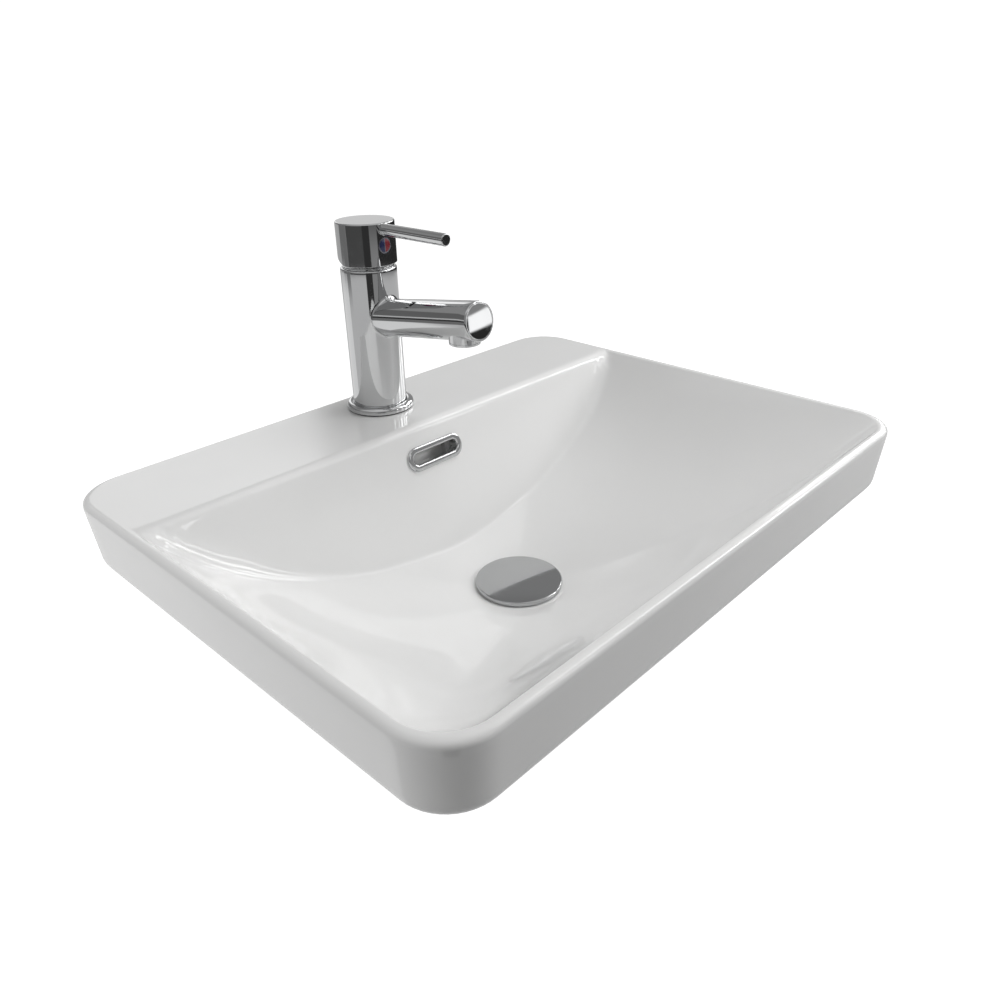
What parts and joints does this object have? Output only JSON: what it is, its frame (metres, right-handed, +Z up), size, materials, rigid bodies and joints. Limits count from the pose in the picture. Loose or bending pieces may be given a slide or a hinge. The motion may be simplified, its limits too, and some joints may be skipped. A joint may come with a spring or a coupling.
{
  "type": "inset basin",
  "caption": "Rectangular glazed counter basin with a sloping bowl, a rear tap deck, an overflow, a press-to-open waste and a single-lever mixer tap.",
  "frame": {"origin": "centre of the counter cut-out, on the plane of the counter's top that the skirt's foot rests on", "axes": "+Z up out of the counter, +Y from the user towards the tap, +X to the user's right"},
  "size_m": [0.5, 0.38, 0.355],
  "materials": {
    "glaze": "glossy white glaze",
    "chrome": "polished chrome plate",
    "brass": "turned brass",
    "rubber": "black rubber",
    "steel": "plain steel",
    "plastic": "moulded plastic",
    "disc_ceramic": "ground ceramic",
    "indicator": "glossy plastic, blue on one half and red on the other"
  },
  "bodies": {
    "basin_unit": {"basin": "glaze", "overflow_ring": "chrome", "waste_body": "chrome", "waste_flange_seal": "rubber", "waste_lower_seal": "rubber", "waste_slip_washer": "plastic", "waste_backnut": "brass", "click_housing": "brass", "tap_gasket": "rubber", "tap_base_ring": "chrome", "tap_body": "chrome", "spout_end_plug": "chrome", "aerator_housing": "chrome", "aerator_insert": "plastic", "aerator_washer": "rubber", "fixing_stud": "brass", "fixing_rubber_shoe": "rubber", "fixing_steel_shoe": "steel", "fixing_nut": "brass", "cartridge_base": "plastic", "cartridge_seals": "rubber", "cartridge_fixed_disc": "disc_ceramic", "cartridge_housing": "plastic", "cartridge_nut": "brass", "cover_ring": "chrome"},
    "rotor": {"cartridge_rotor": "plastic", "spindle_pin": "steel"},
    "disc": {"cartridge_moving_disc": "disc_ceramic", "cartridge_disc_driver": "plastic"},
    "handle": {"cartridge_spindle": "steel", "handle_cap": "chrome", "handle_lever": "chrome", "handle_grub_screw": "steel", "indicator_plug": "indicator"},
    "plug": {"plug_cap": "chrome", "plug_seal": "rubber", "click_plunger": "brass"}
  },
  "joints": [
    {"name": "handle_turn", "type": "hinge", "parent": "basin_unit", "child": "rotor", "pos_m": [0, 0.152, 0.1732], "axis": [0, 0, 1], "range_deg": [-50, 50]},
    {"name": "handle_lift", "type": "hinge", "parent": "rotor", "child": "handle", "pos_m": [0, 0.152, 0.1732], "axis": [-1, 0, 0], "range_deg": [0, 20]},
    {"name": "disc_slide", "type": "slide", "parent": "rotor", "child": "disc", "axis": [0, -1, 0], "range_m": [0, 0.005]},
    {"name": "plug_lift", "type": "slide", "parent": "basin_unit", "child": "plug", "axis": [0, 0, 1], "range_m": [0, 0.008]}
  ],
  "couplings": [
    {"joint": "disc_slide", "follows": "handle_lift", "m_per_rad": 0.0143}
  ]
}
